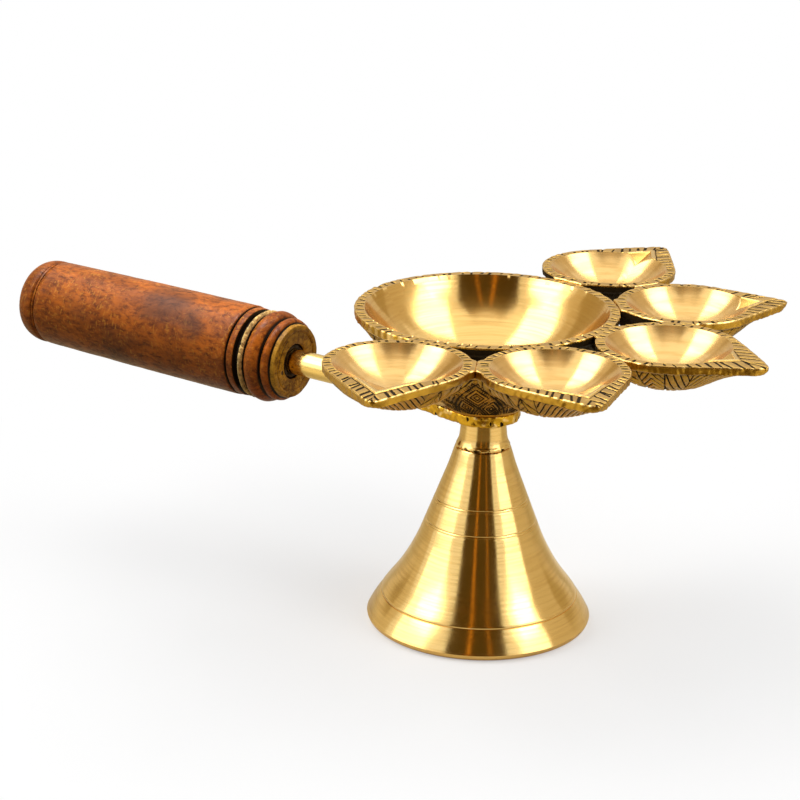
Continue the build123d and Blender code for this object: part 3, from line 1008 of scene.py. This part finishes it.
def makeBowl():
    piece, starts = turnParts("camphorBowl", bowlOutline(), bowl["steps"])
    co, ring, angle, radius = turnedPlaces(piece)
    height = co[:, 2] / mm
    d = bowlRadius - radius
    rimPart = between(ring, starts, "rim", "under")
    bandPart = between(ring, starts, "band", "under")
    rimShare = rimPart * np.where(bandPart, 0.4 * smoothStep(bowlTop - 1.6, bowlTop - 0.3, height), 1)
    strokes, dips = chiselStrokes(
        angle * bowlRadius, d, bowl["strokePitch"], bowl["strokeWidth"], bowl["strokeLean"],
        bowl["rim"], 31)
    under = (ring > starts["under"] + 1) & (ring < starts["seat"] - 2)
    v = (ring - starts["under"]) * bowl["ringStep"]
    chased = np.maximum(bowlChasing(angle, v, radius) * under, cutAt(v - 1.6, 0.5) * under * 0.9)
    cast = lumps(co, 3.2, 32) * bowl["castLumps"][0] * between(ring, starts, "rim", "seat")
    cast += lumps(co, 1.9, 33) * bowl["castLumps"][1] * bandPart
    edge = rimPart * (cutAt(d, 0.6) + 0.5 * cutAt(bowl["rim"] - d, 0.35)) * 0.7 * (1 - dips)
    cut = np.maximum(strokes * rimShare, chased * (0.75 + 0.25 * lumps(co, 5, 34)))
    # painted shade in the gaps beside the cups, on the band and underside
    shadedCupSide = 1 - smoothStep(*np.radians(bowl["gapShadeAngle"]), np.abs(angle))
    low = (ring >= starts["band"] + 2) & (ring < starts["seat"])
    cut = np.maximum(cut, shadedCupSide * low * (1 - smoothStep(9, 13, bowlTop - height)))
    keepPoints(piece, "cut", cut - edge * (1 - cut))
    worked = (strokes * bowl["strokeDepth"] + dips * bowl["dipDepth"]) * rimShare
    carve(piece, worked + chased * bowl["chaseDepth"] + cast)
    dressRings(piece, [
        (0, hollowBrass), (starts["rim"], rimBrass), (starts["band"], bandBrass),
        (starts["under"], chasedBrass), (starts["seat"], bandBrass),
    ])
    settle(piece, "head", "camphor_bowl", 50)


makeBowl()
print("bowl made")


cup = {
    "count": 5,
    "steps": 720,
    "blank": (20, 5),        # radius and half height of the dish that a cup is shaped from
    "centre": 64.0,          # from the bowl's axis to each cup's
    "spacing": 40.78,        # degrees between cups
    "shifts": (-0.8, 0.4, 0.0, -0.2, 1.0),
    "turns": (13.7, 1.5, -4.6, 0.5, 2.7),
    "reaches": (37.4, 35.6, 36.2, 34.6, 36.4),      # tip of each leaf
    "notches": (26.6, 24.3, 22.6, 23.4, 25.4),      # tip of each wick channel
    "droops": (0.6, 0.3, 0.3, 0.1, 0.2),
    "round": 22.1,
    "hollow": 19.15,
    "depth": 9.4,
    "channelFall": 2.9,      # of the wick notch where it leaves the hollow
    "notchHalves": (0.38, 0.34, 0.22, 0.23, 0.25),  # half the wick notch, in radians
    "band": 2.4,
    "drop": 9.4,
    "baseRadius": 7.0,
    "tipBlunt": 0.05,
    "tipRound": 1.5,
    "crowd": 0.35,           # how far the mesh crowds towards the beak
    "webHalf": 10.0,         # degrees each side of a joint
    "webFillet": 7.0,
    "strokePitches": (2.75, 2.75, 3.3, 3.4, 3.0),
    "strokeWidth": 0.85,
    "strokeLean": 0.45,
    "strokeDepth": 0.34,
    "dipDepth": 0.03,
    "lipRise": 0.25,         # of the smooth ridge beside the wick notch
    "chaseDepth": 0.44,
    "castLumps": (0.06, 0.1),    # all over, and on the band
    "gapShade": 0.72,           # painted shade in the gap beside the bowl
    "gapShadeReach": (56, 61),
    "rim": 2.95,
    "barbs": (7.0, 7.0, 9.0, 9.0, 9.0),             # length of the strokes on each beak
    "veined": (0, 0, 1, 1, 1),                      # whether a line runs down the beak
}
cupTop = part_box("leaf_cup_3")[1].z / mm


# rings of a cup from the middle of its hollow, over the rim, to the middle of its underside
def cupRings():
    return {
        "hollow": [0.0] + spread(0, 1, 24),
        "channel": spread(0, 1, 9),
        "rim": list(np.linspace(0, 1, 20)),
        "edge": [0.0, 1.0],
        "band": spread(0, 1, 6),
        "under": list(np.linspace(1, 0, 48)),
        "base": list(np.linspace(1, 0, 8))[1:],
    }


# distance from a cup's middle to a leaf outline, by angle off its tip
# the leaf is round, with straight sides to the tip
def leafReach(angle, radius, reach):
    leave = np.arccos(np.clip(radius / reach, -1, 1))
    off = np.sqrt(angle**2 + cup["tipBlunt"] ** 2)
    return radius / np.cos(np.maximum(leave - off, 0))


# middle of a cup, and the direction of its tip
def cupPlace(number):
    angle = math.radians((number - 2) * cup["spacing"] + cup["shifts"][number])
    middle = Vector((cup["centre"] * math.cos(angle), cup["centre"] * math.sin(angle)))
    return middle, angle + math.radians(cup["turns"][number])


# flat webs that join a cup's rim to its neighbours and to the bowl
def addWebs(number, angle, reach, wall):
    middle, tipAngle = cupPlace(number)
    half, fillet = math.radians(cup["webHalf"]), math.radians(cup["webFillet"])
    beside = [other for other in (number - 1, number + 1) if 0 <= other < cup["count"]]
    for other in [cupPlace(cupNumber)[0] for cupNumber in beside] + [Vector((0, 0))]:
        away = other - middle
        off = angle - math.atan2(away.y, away.x) + tipAngle
        off = np.abs((off + math.pi) % fullTurn - math.pi)
        if other.length > 0:
            edge = away.length / 2 / np.cos(np.minimum(off, 1.0))
            width = half
        else:
            turned = np.minimum(off, 0.5)
            side = cup["centre"] * np.sin(turned)
            edge = cup["centre"] * np.cos(turned) - np.sqrt(np.maximum(wall**2 - side**2, 1))
            width = half * 1.25
        share = 1 - smoothStep(width, width + fillet, off)
        reach = np.where(share > 0, np.maximum(reach, reach * (1 - share) + edge * share), reach)
    return reach


# lines are pitch and width in mm
chasing = {
    "height": 17,            # mm from the band to the base
    "beakHalf": 0.65,        # radians
    "panelWidth": 0.41,      # radians
    "beakLines": (1.6, 0.45),
    "chevrons": (2.6, 0.62),
    "veins": (2.2, 0.45),
    "hatch": (2.1, 0.55),
    "leafHalf": 3.1,
    "leafLength": 13,
    "leafEdge": 0.52,
    "midrib": 0.45,
    "border": 0.5,
    "bandLine": 0.36,
}


# chasing under a cup: lines along the beak, then panels of chevrons, leaves and hatching round the back
def cupChasing(number, angle, share, x, y, radius):
    v = (1 - share) * chasing["height"]
    beak = cutLines(y + 0.1 * x, *chasing["beakLines"]) * (1 - smoothStep(0.6, 0.7, np.abs(angle)))
    width = chasing["panelWidth"]
    place = (np.abs(angle) - chasing["beakHalf"]) / width
    panel = np.floor(place).astype(int)
    across = (place - panel - 0.5) * width * radius
    border = (0.5 - np.abs(place - panel - 0.5)) * width * radius
    kind = (panel + number + (angle > 0)) % 3
    chevrons = cutLines(v - 1.4 * np.abs(across), *chasing["chevrons"])
    almond = chasing["leafHalf"] * np.sin(math.pi * np.clip((v - 0.8) / chasing["leafLength"], 0, 1))
    inside = np.abs(across) < almond
    leafEdge = cutAt(np.abs(across) - almond, chasing["leafEdge"])
    veins = cutLines(v - 1.1 * np.abs(across), *chasing["veins"])
    midrib = cutAt(across, chasing["midrib"])
    leafLines = np.maximum(leafEdge, np.maximum(midrib, veins) * inside)
    hatch = cutLines(across + (0.5 - (panel % 2)) * 0.9 * v, *chasing["hatch"])
    panels = np.choose(np.clip(kind, 0, 2), [chevrons, leafLines, hatch])
    panels = np.maximum(panels, cutAt(border, chasing["border"]))
    cuts = np.maximum(np.where(place < 0, beak, panels), cutAt(v - 0.9, chasing["bandLine"]))
    return cuts * window(share, (0.02, 0.12), (0.95, 1.0))


def shapeCup(piece, number, parts):
    names = list(parts)
    zone = np.array([names.index(name) for name in names for _ in parts[name]])
    share = np.array([value for name in names for value in parts[name]])
    ring = pointValues(piece, "ring").astype(int)
    zone, share = zone[ring], share[ring]
    part = {name: zone == place for place, name in enumerate(names)}
    spun = turnAngles(piece)
    angle = spun - cup["crowd"] * np.sin(spun)
    reach, notch = cup["reaches"][number], cup["notches"][number]

    # level outlines: a round hollow with a straight-sided wick notch, inside a leaf
    notchHalf = cup["notchHalves"][number]
    armX = notch - cup["hollow"] * math.cos(notchHalf)
    armY = cup["hollow"] * math.sin(notchHalf)
    armLength = math.hypot(armX, armY)
    onNotch = np.abs(angle) < notchHalf
    straight = notch * armY / (armY * np.cos(angle) + armX * np.sin(np.abs(angle)))
    inner = np.where(onNotch, straight, cup["hollow"])
    wedge = (inner - cup["hollow"]) / (notch - cup["hollow"])
    outer = addWebs(number, angle, leafReach(angle, cup["round"], reach), bowlRadius)
    fall = cup["channelFall"] * wedge + 0.1
    crease = cup["hollow"] - fall * cup["hollow"] / (2 * cup["depth"])

    radius = np.zeros(len(ring))
    height = np.zeros(len(ring))

    def put(name, newRadius, newHeight):
        radius[part[name]] = newRadius[part[name]]
        height[part[name]] = newHeight[part[name]]

    still = np.zeros(len(ring))
    bottom = crease * share
    put("hollow", bottom, -cup["depth"] * (1 - (bottom / cup["hollow"]) ** 2))
    put("channel", crease + (inner - crease) * share, -fall * (1 - share) - 0.12 * share)
    put("rim", inner + 0.22 + (outer - inner - 0.6) * share, still)
    put("edge", outer - 0.14 * (1 - share), -0.1 - 0.25 * share)
    tip = smoothStep(reach - 5, reach - 0.6, outer)
    drawnIn = 0.15 * share + cup["tipRound"] * tip * share**2
    put("band", outer - drawnIn, -0.35 - (cup["band"] - 0.35) * share)
    levelRound = cup["baseRadius"] + (cup["round"] - 0.35 - cup["baseRadius"]) * share
    levelReach = levelRound + (reach - cup["tipRound"] - 0.4 - cup["round"]) * share**6
    wall = leafReach(angle, levelRound, np.maximum(levelReach, levelRound))
    sunk = cup["drop"] * (1 - share**2)
    brazed = addWebs(number, angle, wall, bowlRadius - 0.5 - 1.1 * sunk)
    put("under", wall + (brazed - wall) * share**4, -cup["band"] - 0.05 - sunk)
    put("base", cup["baseRadius"] * share, still - cup["band"] - 0.05 - cup["drop"])

    x, y = radius * np.cos(angle), radius * np.sin(angle)
    level = height.copy()
    past = np.clip((radius - cup["round"]) / (reach - cup["round"]), 0, 1)
    height -= cup["droops"][number] * past**1.6

    # chisel strokes over the rim, slanted towards the tip on the beak
    sideLeave = math.acos(cup["round"] / reach)
    tipDistance = (reach - x) * math.sin(sideLeave) + np.abs(y) * math.cos(sideLeave)
    sideLength = cup["round"] * math.tan(sideLeave)
    onSide = np.abs(angle) < sideLeave
    s = np.where(onSide, tipDistance, sideLength + cup["round"] * (np.abs(angle) - sideLeave))
    inSide = cup["round"] - (x * math.cos(sideLeave) + np.abs(y) * math.sin(sideLeave))
    d = np.where(onSide, inSide, np.maximum(cup["round"] - radius, 0))
    lean = cup["strokeLean"] * (1 - smoothStep(sideLength * 0.8, sideLength * 1.6, s))
    length = np.where(s < sideLength - 2, cup["barbs"][number], cup["rim"])
    strokes = np.zeros(len(ring))
    dips = np.zeros(len(ring))
    for half in (0, 1):
        here = (y < 0) == bool(half)
        strokes[here], dips[here] = chiselStrokes(
            s[here], d[here], cup["strokePitches"][number], cup["strokeWidth"], lean[here],
            length[here], 100 + 10 * number + half)
    # smooth ridges beside the notch, a groove outside them and a line down the beak
    lipGap = ((x - notch) * armY + np.abs(y) * armX) / armLength
    onLip = smoothStep(notch - armX - 2.5, notch - armX, x) * part["rim"]
    lips = cutAt(lipGap - 0.75, 1.3) * onLip
    groove = cutAt(lipGap - 1.75, 0.5) * onLip * 0.8
    vein = cutAt(y + 0.35 * np.sin(1.1 * x + number), 0.7) * onLip * cup["veined"][number]
    strokes = np.maximum(strokes, vein) * smoothStep(1.2, 2.8, reach - x)
    strokes = np.maximum(strokes * (1 - smoothStep(2.1, 1.5, lipGap) * onLip), groove)
    onBand = 0.4 * smoothStep(-1.6, -0.3, level)
    rimShare = np.select([part["rim"], part["edge"], part["band"]], [1.0, 0.6, onBand], 0.0)
    strokes *= rimShare
    dips *= rimShare
    chased = cupChasing(number, angle, share, x, y, np.maximum(radius, 1)) * part["under"]
    edge = cutAt(outer - radius, 0.6) + 0.5 * cutAt(radius - inner, 0.35)
    edge *= (part["rim"] | part["edge"]) * 0.7 * (1 - 0.5 * dips)
    edge = np.maximum(edge, lips)

    place, turn = cupPlace(number)
    co = np.stack([
        place.x + x * math.cos(turn) - y * math.sin(turn),
        place.y + x * math.sin(turn) + y * math.cos(turn),
        cupTop + height,
    ], axis=1) * mm
    placeVertices(piece, co)
    worked = part["rim"] | part["edge"] | part["band"] | part["under"]
    cast = lumps(co, 3.0, 40 + number) * cup["castLumps"][0] * worked
    cast += lumps(co, 1.8, 50 + number) * cup["castLumps"][1] * part["band"]
    cut = np.maximum(strokes, chased * (0.8 + 0.2 * lumps(co, 5, 60 + number)))
    # painted shade on the band and underside where the cup faces the bowl
    shadedBowlSide = 1 - smoothStep(*cup["gapShadeReach"], axisDistance(co))
    cut = np.maximum(cut, cup["gapShade"] * shadedBowlSide * (part["band"] | part["under"]))
    keepPoints(piece, "cut", cut - edge * (1 - cut))
    chiselled = strokes * cup["strokeDepth"] + dips * cup["dipDepth"] - lips * cup["lipRise"]
    carve(piece, chiselled + chased * cup["chaseDepth"] + cast)


def makeCups():
    parts = cupRings()
    starts = partStarts(parts)
    count = sum(len(values) for values in parts.values())
    # blank: a plain round dish with one ring for each of the cup's
    wide, half = cup["blank"]
    turns = np.linspace(0, 1, count) * math.pi
    outline = [(wide * math.sin(turn), half * math.cos(turn)) for turn in turns]
    outline[0], outline[-1] = (0, half), (0, -half)
    blank = turnOutline("cupBlank", outline, cup["steps"])
    dressRings(blank, [
        (0, cupBrass), (starts["channel"], rimBrass), (starts["edge"], bandBrass),
        (starts["under"], chasedBrass),
    ])
    for number in range(cup["count"]):
        chooseOnly(blank)
        bpy.ops.object.duplicate()
        piece = bpy.context.object
        piece.name = f"leafCup{number + 1}"
        piece.data.name = piece.name
        shapeCup(piece, number, parts)
        settle(piece, "head", f"leaf_cup_{number + 1}", 50)
    bpy.data.objects.remove(blank)


makeCups()
print("cups made")


# studio: camera, world, floor, soft boxes and cards

camera = {
    "focal": 2417.414,       # in pixels of an 800 pixel frame
    "frame": 800,
    "pitch": 0.3306506,
    "roll": 0.0187537,
    "turn": 0.5811516,
    "right": -26.788,        # camera place in mm, along its own level axes
    "ahead": -726.136,
    "up": 323.460,
}


def addCamera():
    data = bpy.data.cameras.new("camera")
    data.sensor_width = 36.0
    data.lens = camera["focal"] * data.sensor_width / camera["frame"]
    data.clip_start = 0.01
    eye = bpy.data.objects.new("camera", data)
    bpy.context.scene.collection.objects.link(eye)
    level = Vector((math.cos(camera["turn"]), math.sin(camera["turn"]), 0))
    ahead = Vector((-math.sin(camera["turn"]), math.cos(camera["turn"]), 0))
    upright = Vector((0, 0, 1))
    look = ahead * math.cos(camera["pitch"]) - upright * math.sin(camera["pitch"])
    top = upright * math.cos(camera["pitch"]) + ahead * math.sin(camera["pitch"])
    right = level * math.cos(camera["roll"]) + top * math.sin(camera["roll"])
    up = top * math.cos(camera["roll"]) - level * math.sin(camera["roll"])
    place = (level * camera["right"] + ahead * camera["ahead"] + upright * camera["up"]) * mm
    eye.matrix_world = Matrix((
        (right.x, up.x, -look.x, place.x),
        (right.y, up.y, -look.y, place.y),
        (right.z, up.z, -look.z, place.z),
        (0, 0, 0, 1),
    ))
    bpy.context.scene.camera = eye
    return ahead


def seenDirectly(tree):
    path = addNode(tree, "ShaderNodeLightPath").outputs
    seen = maths(tree, "MAXIMUM", path["Is Camera Ray"], path["Is Glossy Ray"])
    return maths(tree, "MAXIMUM", seen, path["Is Transmission Ray"])


def addWorld(diffuseLevel):
    world = bpy.data.worlds.new("studio")
    bpy.context.scene.world = world
    world.use_nodes = True
    tree = world.node_tree
    strength = ramp(tree, seenDirectly(tree), 0.0, 1.0, diffuseLevel, 1.0)
    feed(tree, tree.nodes["Background"], Color=(1, 1, 1, 1), Strength=strength)


floorTones = {
    "paper": (0.92, 0.92, 0.92),
    "bounce": (0.2, 0.18, 0.15),       # in soft light off the floor
    "nearFoot": (0.72, 0.66, 0.52),    # this and the rest as the brass reflects it
    "beside": (0.85, 0.78, 0.6),
    "behind": (0.5, 0.43, 0.27),
    "inFront": (0.2, 0.14, 0.05),
}


# paper floor: pale to the camera, with its shadows softened away from the foot
# the brass sees it bright near the foot and beside it, dimmer behind and dark in front
def addFloor(ahead):
    deselectAll()
    bpy.ops.mesh.primitive_circle_add(vertices=96, radius=4.0, fill_type="NGON")
    floor = bpy.context.object
    floor.name = "floor"
    material, tree, surface = newMaterial("floorPaper")
    path = addNode(tree, "ShaderNodeLightPath").outputs
    place = objectPlace(tree)
    tone = {name: opaque(colour) for name, colour in floorTones.items()}
    distance = vectorMaths(tree, "LENGTH", place)["Value"]
    forwards = vectorMaths(tree, "DOT_PRODUCT", place, -ahead)["Value"]
    facing = maths(tree, "DIVIDE", forwards, distance)
    behind = mixColours(tree, ramp(tree, facing, -0.25, 0.1), tone["behind"], tone["beside"])
    outer = mixColours(tree, ramp(tree, facing, 0.8, 0.9), behind, tone["inFront"])
    mirrored = mixColours(tree, ramp(tree, distance, 0.08, 0.2), tone["nearFoot"], outer)
    unseen = mixColours(tree, path["Is Glossy Ray"], tone["bounce"], mirrored)
    paper = mixColours(tree, path["Is Camera Ray"], unseen, tone["paper"])
    feed(tree, surface, Base_Color=paper, Roughness=0.9, Specular_IOR_Level=0.0)
    white = addNode(tree, "ShaderNodeEmission")
    far = ramp(tree, distance, 0.03, 0.26, 0.42, 1.0)
    bare = maths(tree, "MULTIPLY", far, path["Is Camera Ray"])
    mix = addNode(tree, "ShaderNodeMixShader")
    mixed = fillInputs(tree, mix, (bare, surface.outputs["BSDF"], white.outputs["Emission"]))
    feed(tree, tree.nodes["Material Output"], Surface=mixed["Shader"])
    floor.data.materials.append(material)


# direction from the lamp, degrees round from the camera and degrees up
def fromLamp(ahead, around, up):
    turned = Matrix.Rotation(math.radians(around), 3, "Z") @ -ahead
    return turned * math.cos(math.radians(up)) + Vector((0, 0, math.sin(math.radians(up))))


softBoxes = [
    # name, degrees round from the camera, degrees up, distance m, width m, height m, watts
    ("softLeft", -78, 30, 1.35, 0.95, 1.10, 4.6),
    ("softLeftCore", -76, 42, 1.3, 0.55, 0.55, 2.9),
    ("softLeftBack", -122, 56, 1.3, 0.85, 0.55, 5.2),
    ("softRight", 62, 30, 1.35, 0.75, 1.10, 3.6),
    ("softRightCore", 64, 42, 1.3, 0.45, 0.55, 2.4),
    ("softRightBack", 106, 55, 1.3, 0.80, 0.52, 4.7),
    ("softTop", 180, 80, 1.4, 1.20, 0.80, 1.1),
]
sideLights = ("softLeft", "softRight", "softRightCore")
handleLight = {
    "place": Vector((-0.13, -0.03, 1.1)),
    "target": Vector((-0.13, 0.0, 0.09)),
    "size": (0.6, 0.3),
    "watts": 11.0,
}
# curved cards round the lamp that its brass reflects
cards = [
    # name, degrees round from and to, widening at the top, degrees up from and to, radius m, colour
    ("cardFront", (-35, 29), 28, (-2.5, 66), 1.6, (0.085, 0.054, 0.013)),
    ("cardFrontHigh", (-63, 57), 10, (66, 77), 1.6, (0.15, 0.1, 0.03)),
    ("cardFrontTop", (-73, 67), 10, (77, 82), 1.6, (0.5, 0.4, 0.25)),
    ("cardAmberLeft", (-12, -9), 1, (-2.5, 74), 1.58, (0.75, 0.32, 0.04)),
    ("cardAmberRight", (11, 13), 1, (-2.5, 74), 1.58, (0.60, 0.26, 0.04)),
    ("cardLeft", (-150, -106), 0, (-2.5, 38), 1.6, (0.70, 0.62, 0.46)),
    ("cardRight", (79, 136), 0, (-2.5, 38), 1.6, (0.64, 0.56, 0.41)),
    ("cardBack", (136, 210), 0, (-2.5, 30), 1.6, (0.68, 0.62, 0.50)),
    ("cardLowLeft", (-152, -118), 0, (8, 29), 1.57, (0.46, 0.37, 0.2)),
    ("cardLowRight", (112, 141), 0, (6, 21), 1.57, (0.46, 0.37, 0.2)),
]
lampMiddle = Vector((0, 0, 0.08))


def addSoftBox(name, size, watts, place, target):
    data = bpy.data.lights.new(name, "AREA")
    data.shape = "RECTANGLE"
    data.size, data.size_y = size
    data.energy = watts
    box = bpy.data.objects.new(name, data)
    bpy.context.scene.collection.objects.link(box)
    box.location = place
    box.rotation_euler = (target - place).to_track_quat("-Z", "Y").to_euler()
    box.visible_camera = False
    return box


# makes soft boxes light the grip alone, or everything but the grip
def linkToGrip(boxes, name, state):
    linked = bpy.data.collections.new(name)
    linked.objects.link(gripPiece)
    linked.collection_objects[0].light_linking.link_state = state
    for box in boxes:
        box.light_linking.receiver_collection = linked


# the grip is kept out of the side lights and has its own soft box, so its upper side is the bright one
def addLights(ahead):
    beside = []
    for name, around, up, distance, width, height, watts in softBoxes:
        place = lampMiddle + fromLamp(ahead, around, up) * distance
        box = addSoftBox(name, (width, height), watts, place, lampMiddle)
        if name in sideLights:
            beside.append(box)
    linkToGrip(beside, "woodOutOfSideLight", "EXCLUDE")
    linkToGrip([addSoftBox("softHandle", **handleLight)], "woodUnderSoftBox", "INCLUDE")


def addCards(ahead):
    for name, around, widening, up, radius, colour in cards:
        deselectAll()
        bpy.ops.mesh.primitive_grid_add(x_subdivisions=24, y_subdivisions=24, size=1)
        card = bpy.context.object
        card.name = name
        for vertex in card.data.vertices:
            share = vertex.co.y + 0.5
            turn = around[0] + (around[1] - around[0]) * (vertex.co.x + 0.5)
            turn += 2 * vertex.co.x * widening * share**6
            rise = up[0] + (up[1] - up[0]) * share
            vertex.co = lampMiddle + fromLamp(ahead, turn, rise) * radius
        material, tree, surface = newMaterial(name)
        feed(tree, surface, Base_Color=(0, 0, 0, 1), Roughness=1.0, Specular_IOR_Level=0.0)
        feed(tree, surface, Emission_Color=opaque(colour), Emission_Strength=1.0)
        card.data.materials.append(material)
        card.visible_camera = False
        card.visible_diffuse = False
        card.visible_shadow = False


ahead = addCamera()
addWorld(diffuseLevel=0.28)
addFloor(ahead)
addLights(ahead)
addCards(ahead)
bpy.context.scene.view_settings.view_transform = "Standard"
print("studio ready")
